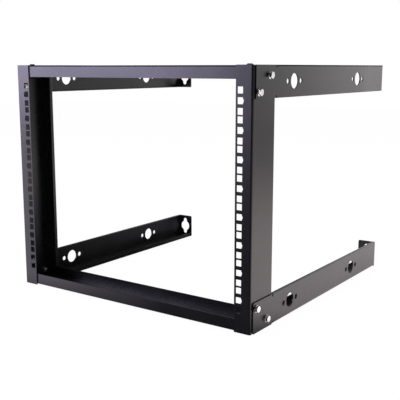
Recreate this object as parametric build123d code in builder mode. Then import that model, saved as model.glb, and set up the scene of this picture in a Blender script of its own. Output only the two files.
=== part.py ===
from build123d import *
import os

# An eight-unit open wall mount rack for 19 inch equipment, in millimetres.
# X runs left to right, Y from the equipment side to the wall, Z up.
# The frame stands on its lowest screw heads at Z = 0 and is centred in X and Y.

# Equipment spacing, shared by the hole pattern and the height
rack_unit = 44.45
unit_count = 8
hole_offsets = (6.35, 22.225, 38.1)
clear_opening = 450.0
hole_inset = 7.55
square_hole = 10.3
notch_radius = 4.6
notch_reach = 1.4
end_margin = 31.0

# Sheet and bends
sheet = 2.0
outer_bend = 3.0
fit_clearance = 0.2
seat_relief = 1.5

# Upright posts
post_face = 30.0
post_depth = 66.0
post_return = 24.0
post_lip = 8.0
post_height = rack_unit * unit_count + 2 * end_margin

# End tabs folded in from the side of each post
tab_margin = 7.0
tab_width = 27.0
tab_relief = 1.2

# Crossbars, held against the outer side of the tabs
bar_inset = 0.7
bar_height = 20.5

# Arms that reach back to the wall
depth_over_all = 508.0
arm_height = 50.8
arm_front_setback = 6.0
arm_corner = 2.0
arm_flange = 36.0
arm_flange_lip = 9.5
arm_edge_lip = 6.5
behind_post_gap = 3.0
plate_past_flange = 1.0
plate_corner = 3.0
cable_hole_diameter = 25.0
strap_hole_diameter = 9.0
strap_hole_spacing = 44.45
hole_groups_from_front = (127.0, 381.0)
wall_slot_from_side = 18.5
wall_slot_width = 24.0
wall_slot_end_width = 10.0
wall_slot_length = 38.0
wall_slot_fillet = 2.0

# Bolts through arm and post
arm_bolt_size = 6.0
arm_bolt_flats = 10.0
arm_bolt_head = 4.0
arm_bolt_washer = 12.0
arm_bolt_washer_thickness = 1.6
arm_nut_height = 5.0
arm_bolt_end = 1.5
front_bolt_from_front = 14.0
front_bolt_from_inner_edge = 10.3
rear_bolt_from_front = 46.5
rear_bolt_from_end = 15.5

# Upright low-head screws through crossbar and post tab
bar_screw_size = 6.0
bar_screw_head = 2.6
bar_screw_head_width = 10.5
bar_screw_dome = 1.8
bar_screw_socket = 4.0
bar_screw_socket_depth = 1.5
bar_nut_flats = 10.0
bar_nut_height = 5.0
bar_screw_end = 1.5
bar_screw_from_side = 18.4
bar_screw_from_front = 21.0
bolt_hole_clearance = 0.8

# Places that follow from the sizes above
front = -depth_over_all / 2
back = depth_over_all / 2
base = bar_screw_head - bar_inset
top = base + post_height
post_edge = clear_opening / 2
post_side = post_edge + post_face
hole_column = post_edge + hole_inset
arm_side = post_side + sheet
middle_bend = outer_bend - sheet / 2
post_back = front + post_depth
arm_front = front + arm_front_setback
behind_post = post_back + behind_post_gap
plate_bend_start = back - sheet - outer_bend
wall_plate_width = arm_flange + plate_past_flange
arm_bolt_places = (
    (front_bolt_from_front, arm_height - front_bolt_from_inner_edge),
    (rear_bolt_from_front, rear_bolt_from_end),
)
bar_underside = base + bar_inset
bar_upper_edge = bar_underside + bar_height
bar_end = post_side - sheet - seat_relief
bar_front = front + sheet
bar_back = post_back - sheet
arm_middle = base + arm_height / 2
bar_screw_x = post_side - bar_screw_from_side
bar_screw_y = front + bar_screw_from_front
tab_inset = bar_inset + sheet
frame_middle = Plane((0, 0, base + post_height / 2))

os.makedirs("parts", exist_ok=True)


def strip_face(plane, points):
    """The section of a bent strip of sheet whose middle line follows the points."""
    with BuildSketch(plane) as section:
        with BuildLine() as strip:
            Polyline(*points)
            fillet(strip.vertices().sort_by_distance(strip.wires()[0] @ 0)[1:-1], middle_bend)
        trace(line_width=sheet)
    return section.sketch


def folded_sheet(points, plane, length, both=False):
    """Extrude a bent strip; the points lie on the middle line of its sheet."""
    extrude(strip_face(plane, points), amount=length, both=both)


def folded_end(z_edge, inward):
    """Fold a tab in from the post's side near one end; inward is +1 at the foot."""
    tab_front = front + tab_margin
    tab_back = post_back - tab_margin
    tab_length = tab_back - tab_front
    middle_y = (tab_front + tab_back) / 2
    cut_height = tab_inset + outer_bend + tab_relief
    with Locations((post_side - sheet / 2, middle_y, z_edge + inward * cut_height / 2)):
        Box(2 * sheet, tab_length + 2 * tab_relief, cut_height, mode=Mode.SUBTRACT)
    folded_sheet(
        [
            (post_side - sheet / 2, inward * cut_height),
            (post_side - sheet / 2, inward * (tab_inset + sheet / 2)),
            (post_side - tab_width, inward * (tab_inset + sheet / 2)),
        ],
        Plane((0, tab_back, z_edge), x_dir=(1, 0, 0), z_dir=(0, -1, 0)),
        tab_length,
    )


def bore(place, direction, diameter, depth):
    """Cut a round hole from a point along a direction."""
    with BuildSketch(Plane(place, z_dir=direction)) as circle:
        Circle(diameter / 2)
    extrude(circle.sketch, amount=depth, both=True, mode=Mode.SUBTRACT)


def hexagon_body(plane, flats, height):
    """A hexagon that stands on a plane, with a corner on the plane's X."""
    with BuildSketch(plane) as hexagon:
        RegularPolygon(radius=flats / 2, side_count=6, major_radius=False)
    extrude(hexagon.sketch, amount=height)


def shank(seat, size, length):
    """A round shank that runs back from its head's seat."""
    with BuildSketch(seat) as shank_circle:
        Circle(size / 2)
    extrude(shank_circle.sketch, amount=-length)


def nut_shape(seat, flats, height, size):
    """A hexagon nut that stands on its seat plane."""
    hexagon_body(seat, flats, height)
    with BuildSketch(seat) as thread_bore:
        Circle(size / 2 + fit_clearance / 2)
    extrude(thread_bore.sketch, amount=height, mode=Mode.SUBTRACT)


# The right post: face, side, rear return and forward lip folded from one strip
with BuildPart() as right_post:
    folded_sheet(
        [
            (post_edge, front + sheet / 2),
            (post_side - sheet / 2, front + sheet / 2),
            (post_side - sheet / 2, post_back - sheet / 2),
            (post_side - post_return + sheet / 2, post_back - sheet / 2),
            (post_side - post_return + sheet / 2, post_back - post_lip),
        ],
        Plane.XY.offset(base),
        post_height,
    )
    for end_z, inward in ((base, 1), (top, -1)):
        # The lip stops short where the crossbar passes
        notch_height = bar_inset + bar_height + seat_relief
        notch_x = post_side - post_return + outer_bend / 2
        with Locations((notch_x, post_back - sheet - post_lip / 2, end_z + inward * notch_height / 2)):
            Box(outer_bend + fit_clearance, post_lip, notch_height, mode=Mode.SUBTRACT)
        folded_end(end_z, inward)
        # Arm bolt holes through the post's side
        for from_front, from_end in arm_bolt_places:
            bore(
                (post_side, front + from_front, end_z + inward * from_end),
                (1, 0, 0),
                arm_bolt_size + bolt_hole_clearance,
                2 * sheet,
            )
        # One upright screw hole through the tab
        tab_middle = end_z + inward * (tab_inset + sheet / 2)
        bore((bar_screw_x, bar_screw_y, tab_middle), (0, 0, 1), bar_screw_size + bolt_hole_clearance, 2 * sheet)
    # Twenty-four square holes, three to a unit, the middle one of each unit notched
    with BuildSketch(Plane((0, front, base + end_margin), x_dir=(1, 0, 0), z_dir=(0, -1, 0))):
        for unit in range(unit_count):
            heights = [unit * rack_unit + step for step in hole_offsets]
            with Locations(*[(hole_column, height) for height in heights]):
                Rectangle(square_hole, square_hole)
            with Locations((hole_column + square_hole / 2 + notch_reach - notch_radius, heights[1])):
                Circle(notch_radius)
    extrude(amount=2 * sheet, both=True, mode=Mode.SUBTRACT)
right_post.part.label = "right_post"
export_step(right_post.part, "parts/right_post.step")

# The left post is the right one mirrored
with BuildPart() as left_post:
    mirror(right_post.part, about=Plane.YZ)
left_post.part.label = "left_post"
export_step(left_post.part, "parts/left_post.step")

# The bottom crossbar: a channel open upwards, whose web lies under the posts' tabs
with BuildPart() as bottom_crossbar:
    folded_sheet(
        [
            (bar_front + sheet / 2, bar_upper_edge),
            (bar_front + sheet / 2, bar_underside + sheet / 2),
            (bar_back - sheet / 2, bar_underside + sheet / 2),
            (bar_back - sheet / 2, bar_upper_edge),
        ],
        Plane((0, 0, 0), x_dir=(0, 1, 0), z_dir=(1, 0, 0)),
        bar_end,
        both=True,
    )
    for side in (-1, 1):
        bore(
            (side * bar_screw_x, bar_screw_y, bar_underside),
            (0, 0, 1),
            bar_screw_size + bolt_hole_clearance,
            2 * sheet,
        )
bottom_crossbar.part.label = "bottom_crossbar"
export_step(bottom_crossbar.part, "parts/bottom_crossbar.step")

# The top crossbar is the same channel turned over
with BuildPart() as top_crossbar:
    mirror(bottom_crossbar.part, about=frame_middle)
top_crossbar.part.label = "top_crossbar"
export_step(top_crossbar.part, "parts/top_crossbar.step")

# A lower arm: a flat side, a wide lower flange with an upturned lip, a narrow
# upper lip, and a wall plate folded in at the back with its screw opening
with BuildPart() as right_lower_arm:
    # The flat length that lies against the post
    with BuildSketch(Plane((arm_side - sheet, 0, 0), x_dir=(0, 1, 0), z_dir=(1, 0, 0))) as flat_side:
        flat_length = behind_post - arm_front
        with Locations((arm_front + flat_length / 2, arm_middle)):
            Rectangle(flat_length, arm_height)
        fillet(flat_side.vertices().group_by(Axis.X)[0], arm_corner)
        # Relief cuts where the bends of the flanges begin
        with GridLocations(0, arm_height, 1, 2):
            with Locations((behind_post - behind_post_gap / 2, arm_middle)):
                Rectangle(behind_post_gap, 2 * (outer_bend + tab_relief), mode=Mode.SUBTRACT)
    extrude(amount=sheet)
    # The flanged length starts just behind the post
    folded_sheet(
        [
            (arm_side - arm_flange + sheet / 2, base + arm_flange_lip),
            (arm_side - arm_flange + sheet / 2, base + sheet / 2),
            (arm_side - sheet / 2, base + sheet / 2),
            (arm_side - sheet / 2, base + arm_height - sheet / 2),
            (arm_side - arm_edge_lip, base + arm_height - sheet / 2),
        ],
        Plane((0, behind_post, 0), x_dir=(1, 0, 0), z_dir=(0, -1, 0)),
        -(plate_bend_start - behind_post),
    )
    # The wall plate turns in from the side, just behind the ends of the flanges
    folded_sheet(
        [
            (arm_side - sheet / 2, plate_bend_start),
            (arm_side - sheet / 2, back - sheet / 2),
            (arm_side - wall_plate_width, back - sheet / 2),
        ],
        Plane.XY.offset(base),
        arm_height,
    )
    fillet(edges().filter_by(Axis.Y).group_by(Axis.X)[0], plate_corner)
    # Cable holes with a strap hole to each side
    with BuildSketch(Plane((arm_side, 0, 0), x_dir=(0, 1, 0), z_dir=(1, 0, 0))):
        for from_front in hole_groups_from_front:
            with Locations((front + from_front, arm_middle)):
                Circle(cable_hole_diameter / 2)
                with GridLocations(strap_hole_spacing, 0, 2, 1):
                    Circle(strap_hole_diameter / 2)
        for from_front, from_end in arm_bolt_places:
            with Locations((front + from_front, base + from_end)):
                Circle((arm_bolt_size + bolt_hole_clearance) / 2)
    extrude(amount=-2 * sheet, mode=Mode.SUBTRACT)
    # The wall screw opening: a round middle with a narrower slot above and below
    with BuildSketch(Plane((arm_side - wall_slot_from_side, back, arm_middle), x_dir=(1, 0, 0), z_dir=(0, -1, 0))) as slot:
        Circle(wall_slot_width / 2)
        SlotOverall(wall_slot_length, wall_slot_end_width, rotation=90)
        fillet(slot.vertices().group_by(SortBy.DISTANCE)[0], wall_slot_fillet)
    extrude(amount=2 * sheet, both=True, mode=Mode.SUBTRACT)
right_lower_arm.part.label = "right_lower_arm"
export_step(right_lower_arm.part, "parts/right_lower_arm.step")

with BuildPart() as left_lower_arm:
    mirror(right_lower_arm.part, about=Plane.YZ)
left_lower_arm.part.label = "left_lower_arm"
export_step(left_lower_arm.part, "parts/left_lower_arm.step")

with BuildPart() as right_upper_arm:
    mirror(right_lower_arm.part, about=frame_middle)
right_upper_arm.part.label = "right_upper_arm"
export_step(right_upper_arm.part, "parts/right_upper_arm.step")

with BuildPart() as left_upper_arm:
    mirror(right_upper_arm.part, about=Plane.YZ)
left_upper_arm.part.label = "left_upper_arm"
export_step(left_upper_arm.part, "parts/left_upper_arm.step")

# Two hexagon bolts, each with a captive washer, and two nuts hold each arm to
# its post. One low-head screw and nut holds each end of each crossbar to a tab
for side_name, side in (("right", 1), ("left", -1)):
    for end_name, end_z, inward in (("lower", base, 1), ("upper", top, -1)):
        for place_name, (from_front, from_end) in zip(("front", "rear"), arm_bolt_places):
            centre = (front + from_front, end_z + inward * from_end)
            with BuildPart() as arm_bolt:
                head_seat = Plane((side * arm_side, *centre), x_dir=(0, 0, 1), z_dir=(side, 0, 0))
                with BuildSketch(head_seat) as washer:
                    Circle(arm_bolt_washer / 2)
                extrude(washer.sketch, amount=arm_bolt_washer_thickness)
                hexagon_body(head_seat.offset(arm_bolt_washer_thickness), arm_bolt_flats, arm_bolt_head)
                shank(head_seat, arm_bolt_size, 2 * sheet + arm_nut_height + arm_bolt_end)
            arm_bolt.part.label = f"{side_name}_{end_name}_{place_name}_bolt"
            export_step(arm_bolt.part, f"parts/{arm_bolt.part.label}.step")
            with BuildPart() as arm_nut:
                nut_seat = Plane((side * (post_side - sheet), *centre), x_dir=(0, 0, 1), z_dir=(-side, 0, 0))
                nut_shape(nut_seat, arm_bolt_flats, arm_nut_height, arm_bolt_size)
            arm_nut.part.label = f"{side_name}_{end_name}_{place_name}_nut"
            export_step(arm_nut.part, f"parts/{arm_nut.part.label}.step")
        with BuildPart() as bar_screw:
            screw_seat = Plane(
                (side * bar_screw_x, bar_screw_y, end_z + inward * bar_inset),
                x_dir=(1, 0, 0),
                z_dir=(0, 0, -inward),
            )
            # The head is a low button, bevelled at the rim, with a hexagon socket
            head_face = screw_seat.offset(bar_screw_head)
            with BuildSketch(screw_seat) as head_circle:
                Circle(bar_screw_head_width / 2)
            extrude(head_circle.sketch, amount=bar_screw_head)
            rim = edges().filter_by(GeomType.CIRCLE).sort_by_distance(head_face.origin)[0]
            chamfer(rim, length=bar_screw_dome, length2=bar_screw_dome)
            with BuildSketch(head_face) as socket:
                RegularPolygon(radius=bar_screw_socket / 2, side_count=6, major_radius=False)
            extrude(socket.sketch, amount=-bar_screw_socket_depth, mode=Mode.SUBTRACT)
            shank(screw_seat, bar_screw_size, 2 * sheet + bar_nut_height + bar_screw_end)
        bar_screw.part.label = f"{side_name}_{end_name}_crossbar_screw"
        export_step(bar_screw.part, f"parts/{bar_screw.part.label}.step")
        with BuildPart() as bar_nut:
            bar_nut_seat = Plane(
                (side * bar_screw_x, bar_screw_y, end_z + inward * (tab_inset + sheet)),
                x_dir=(1, 0, 0),
                z_dir=(0, 0, inward),
            )
            nut_shape(bar_nut_seat, bar_nut_flats, bar_nut_height, bar_screw_size)
        bar_nut.part.label = f"{side_name}_{end_name}_crossbar_nut"
        export_step(bar_nut.part, f"parts/{bar_nut.part.label}.step")
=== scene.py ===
# %% [markdown]
# # An open wall mount rack, dressed and lit
#
# The rack is two upright posts with square holes, two crossbars and four long
# arms that reach back to the wall. Its solids come ready made from the packed
# model, each with its place in its own mesh. This lesson gives them their
# finish, adds the fine shapes that the plain solids leave out, and sets up a
# pale studio with one camera.

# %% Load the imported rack
import math

import bmesh
import bpy
from mathutils import Matrix, Vector


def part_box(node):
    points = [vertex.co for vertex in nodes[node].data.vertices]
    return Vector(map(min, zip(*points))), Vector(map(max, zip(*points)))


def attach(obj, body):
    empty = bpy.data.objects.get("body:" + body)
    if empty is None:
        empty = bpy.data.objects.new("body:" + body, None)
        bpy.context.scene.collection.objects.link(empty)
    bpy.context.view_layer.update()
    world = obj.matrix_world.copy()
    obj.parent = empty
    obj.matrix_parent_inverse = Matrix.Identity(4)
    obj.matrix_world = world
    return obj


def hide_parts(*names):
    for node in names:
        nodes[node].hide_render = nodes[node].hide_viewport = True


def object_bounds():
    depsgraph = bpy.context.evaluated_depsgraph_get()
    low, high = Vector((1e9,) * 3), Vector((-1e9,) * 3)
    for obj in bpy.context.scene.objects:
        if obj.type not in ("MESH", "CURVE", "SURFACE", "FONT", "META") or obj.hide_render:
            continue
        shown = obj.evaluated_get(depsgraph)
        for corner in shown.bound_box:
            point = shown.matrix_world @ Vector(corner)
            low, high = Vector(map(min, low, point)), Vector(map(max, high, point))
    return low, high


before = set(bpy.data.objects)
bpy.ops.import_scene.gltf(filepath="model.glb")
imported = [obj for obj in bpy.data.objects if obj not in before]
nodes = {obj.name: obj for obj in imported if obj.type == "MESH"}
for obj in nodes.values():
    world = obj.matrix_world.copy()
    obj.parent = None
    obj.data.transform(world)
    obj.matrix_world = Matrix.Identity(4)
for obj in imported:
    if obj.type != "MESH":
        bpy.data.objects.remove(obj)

built_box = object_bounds()
print("solids", len(nodes), "box", [[round(value, 4) for value in corner] for corner in built_box])

# %% [markdown]
# Everything that repeats gets a small helper. The first clears the selection,
# because the loader leaves every solid selected and an operator acts on all
# that is selected. The second starts an empty node material. Each of the others
# adds one kind of node and returns its output, so that every finish below reads
# as a short list of steps.

# %% Small helpers for materials


def select_nothing():
    """Leave no object selected or active."""
    for thing in bpy.context.selected_objects:
        thing.select_set(False)
    bpy.context.view_layer.objects.active = None


def new_finish(name):
    """A material with a Principled shader and object coordinates, and nothing else."""
    finish = bpy.data.materials.new(name)
    finish.use_nodes = True
    tree = finish.node_tree
    tree.nodes.clear()
    output = tree.nodes.new("ShaderNodeOutputMaterial")
    shader = tree.nodes.new("ShaderNodeBsdfPrincipled")
    tree.links.new(shader.outputs["BSDF"], output.inputs["Surface"])
    place = tree.nodes.new("ShaderNodeTexCoord")
    return finish, tree, shader, place


def noise(tree, place, scale, detail, roughness=0.5):
    """Soft noise in object space; scale is in features per metre."""
    texture = tree.nodes.new("ShaderNodeTexNoise")
    texture.inputs["Scale"].default_value = scale
    texture.inputs["Detail"].default_value = detail
    texture.inputs["Roughness"].default_value = roughness
    tree.links.new(place.outputs["Object"], texture.inputs["Vector"])
    return texture.outputs["Fac"]


def remap(tree, value, low, high, start=0.0, end=1.0):
    """Turn a value between start and end into one between low and high."""
    ranger = tree.nodes.new("ShaderNodeMapRange")
    tree.links.new(value, ranger.inputs["Value"])
    ranger.inputs["From Min"].default_value = start
    ranger.inputs["From Max"].default_value = end
    ranger.inputs["To Min"].default_value = low
    ranger.inputs["To Max"].default_value = high
    return ranger.outputs["Result"]


def times(tree, first, second):
    """The product of two values."""
    product = tree.nodes.new("ShaderNodeMath")
    product.operation = "MULTIPLY"
    tree.links.new(first, product.inputs[0])
    tree.links.new(second, product.inputs[1])
    return product.outputs[0]


def slanted(tree, across, share, along):
    """A value that runs along one direction, plus a share of a direction across it."""
    total = tree.nodes.new("ShaderNodeMath")
    total.operation = "MULTIPLY_ADD"
    tree.links.new(across, total.inputs[0])
    total.inputs[1].default_value = share
    tree.links.new(along, total.inputs[2])
    return total.outputs[0]


def blend_colours(tree, amount, first, second):
    """Mix two colours by a value; each is a colour or a socket."""
    mixer = tree.nodes.new("ShaderNodeMix")
    mixer.data_type = "RGBA"
    tree.links.new(amount, mixer.inputs["Factor"])
    for socket, colour in (("A", first), ("B", second)):
        target = [entry for entry in mixer.inputs if entry.name == socket and entry.type == "RGBA"][0]
        if isinstance(colour, tuple):
            target.default_value = (*colour, 1.0)
        else:
            tree.links.new(colour, target)
    return [entry for entry in mixer.outputs if entry.type == "RGBA"][0]


def relief(tree, height, distance, strength, before=None):
    """A bump from a height value; it may be stacked on an earlier one."""
    bump = tree.nodes.new("ShaderNodeBump")
    bump.inputs["Distance"].default_value = distance
    bump.inputs["Strength"].default_value = strength
    tree.links.new(height, bump.inputs["Height"])
    if before is not None:
        tree.links.new(before, bump.inputs["Normal"])
    return bump.outputs["Normal"]


print("helpers ready")

# %% [markdown]
# The sheet steel is powder coated a satin black. A powder coat melts and flows
# in the oven, so it has a fine orange peel, slightly uneven gloss, pale specks
# and thinner paint along sharp edges. We could paint these into an image, but
# noise in object space needs no unwrapping and stays at its real size on every
# piece. An edge is found by rounding the surface in the shader only: where the
# rounded direction leaves the true one, the paint is thin and lighter. That
# lighter edge is partly thin coat and partly a painted highlight along the edges.

# %% Black powder coat
DEEP_BLACK = (0.0045, 0.0043, 0.005)
SOFT_BLACK = (0.0068, 0.0066, 0.0076)
SPECK = (0.014, 0.0135, 0.015)
# Lighter edge colour: thin coat, and partly a painted edge highlight.
THIN_PAINT_AND_EDGE_HIGHLIGHT = (0.035, 0.033, 0.033)
EDGE_WIDTH = 0.0009

coat, tree, shader, place = new_finish("satin_black_powder_coat")
shader.inputs["Metallic"].default_value = 0.0
shader.inputs["IOR"].default_value = 1.5
broad = noise(tree, place, 9.0, 3.0)
speckle = noise(tree, place, 900.0, 2.0)
tone = blend_colours(tree, remap(tree, broad, 0.0, 1.0, 0.3, 0.7), DEEP_BLACK, SOFT_BLACK)
specked = blend_colours(tree, remap(tree, speckle, 0.0, 0.35, 0.55, 0.75), tone, SPECK)
rounded = tree.nodes.new("ShaderNodeBevel")
rounded.samples = 4
rounded.inputs["Radius"].default_value = EDGE_WIDTH
facing = tree.nodes.new("ShaderNodeNewGeometry")
agreement = tree.nodes.new("ShaderNodeVectorMath")
agreement.operation = "DOT_PRODUCT"
tree.links.new(rounded.outputs["Normal"], agreement.inputs[0])
tree.links.new(facing.outputs["True Normal"], agreement.inputs[1])
edge = remap(tree, agreement.outputs["Value"], 1.0, 0.0, 0.8, 0.97)
# Edge mask for the lighter colour, partly thin paint and partly a painted highlight.
thin_and_highlit_edge = times(tree, edge, remap(tree, noise(tree, place, 60.0, 3.0), 0.1, 0.9, 0.4, 0.65))
worn_and_highlit = blend_colours(tree, thin_and_highlit_edge, specked, THIN_PAINT_AND_EDGE_HIGHLIGHT)
tree.links.new(worn_and_highlit, shader.inputs["Base Color"])
tree.links.new(remap(tree, broad, 0.25, 0.33, 0.3, 0.7), shader.inputs["Roughness"])
peel = relief(tree, noise(tree, place, 420.0, 2.0), 0.0002, 0.25)
grit = relief(tree, speckle, 0.00006, 0.3, peel)
tree.links.new(grit, shader.inputs["Normal"])
print("made", coat.name)

# %% [markdown]
# Bolts and nuts are bright zinc. The plating is thin, so it keeps the fine
# turning marks of the steel below, with a slightly blue cast and a little
# dullness where a spanner has been. It is a metal, so its colour is its
# reflection, and roughness does most of the work.

# %% Bright zinc
ZINC_SHADE = (0.78, 0.79, 0.80)
ZINC_LIGHT = (0.90, 0.90, 0.89)

zinc, tree, shader, place = new_finish("bright_zinc_plate")
shader.inputs["Metallic"].default_value = 1.0
cloud = noise(tree, place, 260.0, 3.0)
plate_tone = blend_colours(tree, remap(tree, cloud, 0.0, 1.0, 0.35, 0.65), ZINC_SHADE, ZINC_LIGHT)
tree.links.new(plate_tone, shader.inputs["Base Color"])
tree.links.new(remap(tree, cloud, 0.24, 0.36, 0.3, 0.7), shader.inputs["Roughness"])
tree.links.new(relief(tree, noise(tree, place, 2600.0, 2.0), 0.00002, 0.2), shader.inputs["Normal"])
print("made", zinc.name)

# %% [markdown]
# The four upright screws are black oxide steel. The oxide is a thin skin, so
# it stays dark but shines more than paint, and it is worn a little lighter
# where noise says a key or a thumb has rubbed it.

# %% Black oxide
OXIDE = (0.009, 0.009, 0.01)
RUBBED_OXIDE = (0.03, 0.029, 0.028)

oxide, tree, shader, place = new_finish("black_oxide_steel")
shader.inputs["IOR"].default_value = 1.6
rub = noise(tree, place, 480.0, 2.0)
skin = blend_colours(tree, remap(tree, rub, 0.0, 1.0, 0.45, 0.8), OXIDE, RUBBED_OXIDE)
tree.links.new(skin, shader.inputs["Base Color"])
tree.links.new(remap(tree, rub, 0.26, 0.4, 0.3, 0.7), shader.inputs["Roughness"])
tree.links.new(relief(tree, rub, 0.00004, 0.3), shader.inputs["Normal"])
print("made", oxide.name)

# %% [markdown]
# Every solid names the slot its finish comes from. We put the three finishes
# on the solids and leave the meshes as they are.

# %% Put the finishes on the solids
for name, thing in nodes.items():
    finish = zinc if name.endswith(("_bolt", "_nut")) else oxide if name.endswith("_screw") else coat
    thing.data.materials.clear()
    thing.data.materials.append(finish)
print("finished", len(nodes), "solids")

# %% [markdown]
# The solids' bolts, nuts and screws are plain hexagons and cylinders. A real
# bolt is turned from hexagon bar, so its corners are cut back by a cone, and
# its thread shows past the nut. We model each kind once, upright at the origin
# with its seat at zero, and copy it to its places later. A bevel would cut the
# corners flat, so we trim them with a common shape instead. These helpers make
# a turned bar that may step in or out, and combine two pieces by a boolean.

# %% Helpers for turned pieces
MM = 0.001


def apply_modifier(thing, kind, **settings):
    """Add one modifier with its settings and apply it."""
    bpy.context.view_layer.objects.active = thing
    modifier = thing.modifiers.new("step", kind)
    for key, value in settings.items():
        setattr(modifier, key, value)
    bpy.ops.object.modifier_apply(modifier=modifier.name)


def turned(radius, steps, sides=48, start=0.0):
    """A bar that grows along Z; each step is a rise and the radius it ends with, in mm."""
    select_nothing()
    first_rise = steps[0][0] * MM
    bpy.ops.mesh.primitive_cylinder_add(
        vertices=sides, radius=radius * MM, depth=first_rise, location=(0, 0, start * MM + first_rise / 2)
    )
    bar = bpy.context.object
    bpy.ops.object.transform_apply(location=True, rotation=True, scale=True)
    bpy.ops.object.mode_set(mode="EDIT")
    bpy.ops.mesh.select_mode(type="FACE")
    mesh = bmesh.from_edit_mesh(bar.data)
    mesh.faces.ensure_lookup_table()
    highest = max(mesh.faces, key=lambda face: face.calc_center_median().z)
    for face in mesh.faces:
        face.select_set(face == highest)
    bmesh.update_edit_mesh(bar.data)
    last = radius
    for index, (rise, end_radius) in enumerate(steps):
        if index:
            bpy.ops.mesh.extrude_region_move(TRANSFORM_OT_translate={"value": (0, 0, rise * MM)})
        if end_radius != last:
            ratio = end_radius / last
            bpy.ops.transform.resize(value=(ratio, ratio, 1.0), center_override=(0, 0, 0))
            last = end_radius
    bpy.ops.mesh.select_all(action="SELECT")
    bpy.ops.mesh.normals_make_consistent(inside=False)
    bpy.ops.object.mode_set(mode="OBJECT")
    return bar


def combine(thing, other, operation):
    """Cut, join or trim one piece by another, which is then removed."""
    select_nothing()
    apply_modifier(thing, "BOOLEAN", object=other, operation=operation, solver="EXACT")
    bpy.data.objects.remove(other)


print("turning helpers ready")

# %% [markdown]
# A hexagon is a six-sided bar trimmed by a round blank with conical ends,
# which leaves the true curved edge on each flat. A thread could be a helix, but
# at this size a row of shallow grooves at the thread's pitch reads the same,
# with far fewer faces.

# %% Helpers for hexagons and threads, in millimetres
FLATS = 10.0
FACE_SHARE = 0.475
CONE_ANGLE = math.radians(30)
SHANK = 10.5
TIP_RADIUS = 2.4
THREAD_RADIUS = 3.0
GROOVE_RADIUS = 2.62
HALF_PITCH = 0.5
GROOVES = 10
SEAT_OVERLAP = 0.1
SMOOTH_ANGLE = math.radians(28)


def hexagon(flats, start, height, cone_below):
    """A hexagon bar whose corners are cut back by a cone above, and below if asked."""
    corner = flats / math.sqrt(3)
    wide = corner * 1.02
    narrow = flats * FACE_SHARE
    cone = (wide - narrow) * math.tan(CONE_ANGLE)
    bar = turned(corner, [(height + 1.0, corner)], sides=6, start=start - 0.5)
    if cone_below:
        steps = [(cone, wide), (height - 2 * cone, wide), (cone, narrow)]
        blank = turned(narrow, steps, sides=72, start=start)
    else:
        blank = turned(wide, [(height - cone, wide), (cone, narrow)], sides=72, start=start)
    combine(bar, blank, "INTERSECT")
    return bar


def threaded_shank():
    """A shank with a groove each millimetre, from its bevelled tip up to the seat."""
    thread = GROOVES * [(HALF_PITCH, GROOVE_RADIUS), (HALF_PITCH, THREAD_RADIUS)]
    steps = [(HALF_PITCH, THREAD_RADIUS), *thread, (SEAT_OVERLAP, THREAD_RADIUS)]
    return turned(TIP_RADIUS, steps, sides=32, start=-SHANK)


def finish_piece(piece, name, finish):
    """Smooth the round faces, name the piece and give it its material."""
    select_nothing()
    piece.select_set(True)
    bpy.context.view_layer.objects.active = piece
    bpy.ops.object.mode_set(mode="EDIT")
    bpy.ops.mesh.select_all(action="SELECT")
    bpy.ops.mesh.remove_doubles(threshold=0.000001)
    bpy.ops.mesh.normals_make_consistent(inside=False)
    bpy.ops.object.mode_set(mode="OBJECT")
    bpy.ops.object.shade_smooth_by_angle(angle=SMOOTH_ANGLE)
    piece.name = name
    piece.data.materials.clear()
    piece.data.materials.append(finish)
    return piece


print("hexagon and thread helpers ready")

# %% [markdown]
# The bolt has a washer under its head and a threaded shank. The nut is a
# hexagon with a cone at both ends and a bore whose mouths are eased. The
# screw's low head is turned in a few steps along a curve, and a hexagon bar
# cuts its socket. The heads could be bevelled boxes, but turned shapes give the
# same round edges that a lathe leaves.

# %% The pattern bolt, nut and screw
WASHER_RADIUS = 6.0
WASHER_RIM = 5.8
BORE_RADIUS = 3.1
BORE_MOUTH = 3.5
SOCKET_CORNER = 4.0 / math.sqrt(3)
HEAD_CURVE = [(0.6, 5.25), (0.6, 5.05), (0.55, 4.55), (0.5, 3.9), (0.35, 3.0)]

bolt = hexagon(FLATS, 1.55, 4.05, False)
washer = turned(WASHER_RIM, [(0.2, WASHER_RADIUS), (1.2, WASHER_RADIUS), (0.2, WASHER_RIM)])
combine(bolt, washer, "UNION")
combine(bolt, threaded_shank(), "UNION")
finish_piece(bolt, "pattern_bolt", zinc)

nut = hexagon(FLATS, 0.0, 5.0, True)
bore = turned(BORE_MOUTH, [(1.0, BORE_RADIUS), (4.0, BORE_RADIUS), (1.0, BORE_MOUTH)], start=-0.5)
combine(nut, bore, "DIFFERENCE")
finish_piece(nut, "pattern_nut", zinc)

screw = turned(HEAD_CURVE[0][1], HEAD_CURVE, sides=64)
combine(screw, turned(SOCKET_CORNER, [(3.0, SOCKET_CORNER)], sides=6, start=1.1), "DIFFERENCE")
combine(screw, threaded_shank(), "UNION")
finish_piece(screw, "pattern_screw", oxide)
patterns = {"bolt": bolt, "nut": nut, "screw": screw}
print("patterns", {name: len(thing.data.polygons) for name, thing in patterns.items()})

# %% [markdown]
# Each pattern is copied, with a mesh of its own, to every solid of its kind.
# The turn and the place go into the mesh, so every piece stays at the origin.
# The patterns are then removed.

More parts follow.
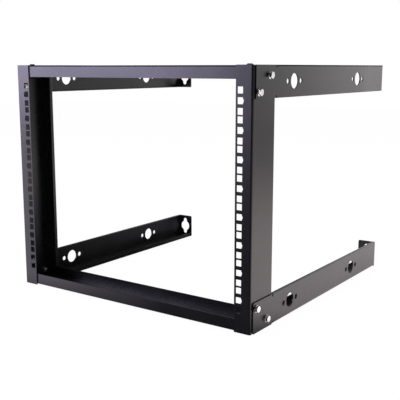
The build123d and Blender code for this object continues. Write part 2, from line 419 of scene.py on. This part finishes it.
# %% Copies on every bolt, nut and screw
TURNS = {
    "sideways": lambda way: Matrix(((0, 0, way), (way, 0, 0), (0, 1, 0))),
    "upright": lambda way: Matrix(((0, 1, 0), (-way, 0, 0), (0, 0, way))),
}
middle_height = (built_box[0][2] + built_box[1][2]) / 2
for node_name in sorted(nodes):
    kind = node_name.rsplit("_", 1)[1]
    if kind not in patterns:
        continue
    low, high = [Vector(corner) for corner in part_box(node_name)]
    centre = (low + high) / 2
    upright = "_crossbar_" in node_name
    outward = math.copysign(1, centre.z - middle_height) if upright else math.copysign(1, centre.x)
    way = -outward if kind == "nut" else outward
    axis = 2 if upright else 0
    copy = patterns[kind].copy()
    copy.data = patterns[kind].data.copy()
    copy.name = node_name + "_fine"
    bpy.context.scene.collection.objects.link(copy)
    copy.data.transform(TURNS["upright" if upright else "sideways"](way).to_4x4())
    reach = [vertex.co[axis] for vertex in copy.data.vertices]
    shift = centre.copy()
    shift[axis] = high[axis] - max(reach) if way > 0 else low[axis] - min(reach)
    copy.data.transform(Matrix.Translation(shift))
    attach(copy, "root")
    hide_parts(node_name)
for pattern in patterns.values():
    bpy.data.objects.remove(pattern)

# %% [markdown]
# The studio stands on a wide pale floor. The camera sees it as plain white.
# Mirror rays see it lit as under two lamps, one pool behind and to the right of
# the rack and one patch in front to the left, with shade between them. Black
# paint shows little but what it mirrors, so this is what gives it its shape.
# More lamps would do the same, but would also fade the shade between the pools.

# %% Pale floor
FLOOR_SIZE = 12.0
FLOOR_DROP = 0.0005
POOL_CENTRE = (0.45, 0.1, 0.0)
WARM_GLOW = (1.0, 0.915, 0.925)
COOL_GLOW = (0.93, 0.87, 1.0)
WHITE = (1.0, 1.0, 1.0)

select_nothing()
bpy.ops.mesh.primitive_plane_add(size=FLOOR_SIZE, location=(0.0, 0.0, -FLOOR_DROP))
floor = bpy.context.object
floor.name = "floor"
ground, tree, shader, place = new_finish("pale_floor")
shader.inputs["Base Color"].default_value = (0.9, 0.9, 0.9, 1.0)
shader.inputs["Roughness"].default_value = 0.9
rays = tree.nodes.new("ShaderNodeLightPath")
split = tree.nodes.new("ShaderNodeSeparateXYZ")
tree.links.new(place.outputs["Object"], split.inputs["Vector"])
reach = tree.nodes.new("ShaderNodeVectorMath")
reach.operation = "DISTANCE"
tree.links.new(place.outputs["Object"], reach.inputs[0])
reach.inputs[1].default_value = POOL_CENTRE
pool = remap(tree, reach.outputs["Value"], 1.8, 0.45, 0.3, 2.2)
corner_way = slanted(tree, split.outputs["X"], 0.8, split.outputs["Y"])
behind = remap(tree, corner_way, 0.0, 1.0, -0.07, 0.1)
beside = remap(tree, split.outputs["X"], 0.12, 1.0, 0.05, 0.35)
left_way = slanted(tree, split.outputs["Y"], -0.62, split.outputs["X"])
leftward = remap(tree, left_way, 1.7, 0.0, -0.06, 0.24)
left_front = times(tree, leftward, remap(tree, split.outputs["Y"], 1.0, 0.0, -0.3, -0.2))
lit = tree.nodes.new("ShaderNodeMath")
lit.operation = "ADD"
tree.links.new(times(tree, times(tree, behind, beside), pool), lit.inputs[0])
tree.links.new(left_front, lit.inputs[1])
look = tree.nodes.new("ShaderNodeMix")
tree.links.new(rays.outputs["Is Camera Ray"], look.inputs["Factor"])
tree.links.new(lit.outputs[0], look.inputs["A"])
look.inputs["B"].default_value = 1.02
glow = tree.nodes.new("ShaderNodeEmission")
right_way = remap(tree, split.outputs["X"], 0.0, 1.0, 0.14, 0.28)
tint = blend_colours(tree, right_way, COOL_GLOW, WARM_GLOW)
shown = blend_colours(tree, rays.outputs["Is Camera Ray"], tint, WHITE)
tree.links.new(shown, glow.inputs["Color"])
tree.links.new(look.outputs["Result"], glow.inputs["Strength"])
choose = tree.nodes.new("ShaderNodeMixShader")
output = [node for node in tree.nodes if node.type == "OUTPUT_MATERIAL"][0]
seen = tree.nodes.new("ShaderNodeMath")
seen.operation = "MAXIMUM"
tree.links.new(rays.outputs["Is Camera Ray"], seen.inputs[0])
tree.links.new(rays.outputs["Is Glossy Ray"], seen.inputs[1])
tree.links.new(remap(tree, seen.outputs[0], 0.0, 0.95), choose.inputs["Fac"])
tree.links.new(shader.outputs["BSDF"], choose.inputs[1])
tree.links.new(glow.outputs["Emission"], choose.inputs[2])
tree.links.new(choose.outputs["Shader"], output.inputs["Surface"])
floor.data.materials.append(ground)
print("floor", FLOOR_SIZE, "m wide")

# %% [markdown]
# The world is white to the camera and soft grey to diffuse rays. Mirror rays
# see it bright only in a low band behind the rack, so that a flat top edge
# shines while the bend beside it stays dark. A white world for every ray would
# be simpler, but black sheet would then look grey all over.

# %% White world
world = bpy.data.worlds.new("white_studio")
bpy.context.scene.world = world
world.use_nodes = True
sky = world.node_tree
sky.nodes.clear()
sky_out = sky.nodes.new("ShaderNodeOutputWorld")
sky_light = sky.nodes.new("ShaderNodeBackground")
sky_light.inputs["Color"].default_value = (1.0, 1.0, 1.0, 1.0)
sky_rays = sky.nodes.new("ShaderNodeLightPath")
sky_place = sky.nodes.new("ShaderNodeTexCoord")
sky_split = sky.nodes.new("ShaderNodeSeparateXYZ")
sky.links.new(sky_place.outputs["Generated"], sky_split.inputs["Vector"])
backward = slanted(sky, sky_split.outputs["X"], 0.25, sky_split.outputs["Y"])
aft = remap(sky, backward, 0.02, 0.85, 0.5, 0.82)
low = remap(sky, sky_split.outputs["Z"], 1.0, 0.02, 0.2, 0.33)
left_gain = remap(sky, sky_split.outputs["X"], 1.6, 1.0, -0.35, 0.1)
band = times(sky, times(sky, aft, low), left_gain)
fill_level = sky.nodes.new("ShaderNodeMix")
sky.links.new(sky_rays.outputs["Is Glossy Ray"], fill_level.inputs["Factor"])
fill_level.inputs["A"].default_value = 0.45
sky.links.new(band, fill_level.inputs["B"])
sky_level = sky.nodes.new("ShaderNodeMix")
sky.links.new(sky_rays.outputs["Is Camera Ray"], sky_level.inputs["Factor"])
sky.links.new(fill_level.outputs["Result"], sky_level.inputs["A"])
sky_level.inputs["B"].default_value = 1.0
sky.links.new(sky_level.outputs["Result"], sky_light.inputs["Strength"])
sky.links.new(sky_light.outputs["Background"], sky_out.inputs["Surface"])
print("world ready")

# %% [markdown]
# Three large soft panels do the shaping. One stands to the left and a little in
# front: the posts' and bars' faces mirror it, brightest at the top left and
# fading down to the right. One stands far behind, level with the arms, and
# brightens their outer sides towards the wall. One hangs overhead. The panels
# themselves stay out of the camera's sight.

# %% Soft panels
COOL_LAMP = (0.77, 0.715, 1.0)
WARM_LAMP = (1.0, 0.94, 0.93)


def soft_panel(name, place, aim, width, height, power, tint):
    """A rectangular area light that faces a point and isn't seen by the camera."""
    lamp = bpy.data.lights.new(name, "AREA")
    lamp.shape = "RECTANGLE"
    lamp.size = width
    lamp.size_y = height
    lamp.energy = power
    lamp.color = tint
    holder = bpy.data.objects.new(name, lamp)
    bpy.context.scene.collection.objects.link(holder)
    holder.location = place
    holder.rotation_euler = (Vector(aim) - Vector(place)).to_track_quat("-Z", "Y").to_euler()
    holder.visible_camera = False
    return holder


front_panel = soft_panel("left_panel", (-2.27, -1.95, 0.86), (-0.1, -0.2, 0.3), 2.6, 1.3, 86.0, COOL_LAMP)
rear_panel = soft_panel("rear_panel", (0.95, 3.1, 0.5), (0.2, 0.1, 0.25), 1.3, 0.9, 4.4, WARM_LAMP)
top_panel = soft_panel("overhead_panel", (0.2, 0.0, 2.6), (0.0, 0.0, 0.2), 2.0, 2.0, 24.0, WHITE)
print("panels", front_panel.name, rear_panel.name, top_panel.name)

# %% [markdown]
# The camera stands to the right of the rack, level with its top, and looks a
# little down and to the left. Its place and lens were worked out from the
# rack's own standard hole spacing.

# %% Camera
LOOK_DOWN = 10.2554
LOOK_LEFT = 34.9097

camera_data = bpy.data.cameras.new("camera")
camera = bpy.data.objects.new("camera", camera_data)
bpy.context.scene.collection.objects.link(camera)
camera.location = (0.81404, -1.19156, 0.41487)
camera.rotation_euler = (math.radians(90.0 - LOOK_DOWN), 0.0, math.radians(LOOK_LEFT))
camera_data.sensor_width = 36.0
camera_data.lens = 65.815
camera_data.clip_end = 50.0
bpy.context.scene.camera = camera
bpy.context.scene.view_settings.view_transform = "Standard"
print("camera at", tuple(round(value, 3) for value in camera.location))
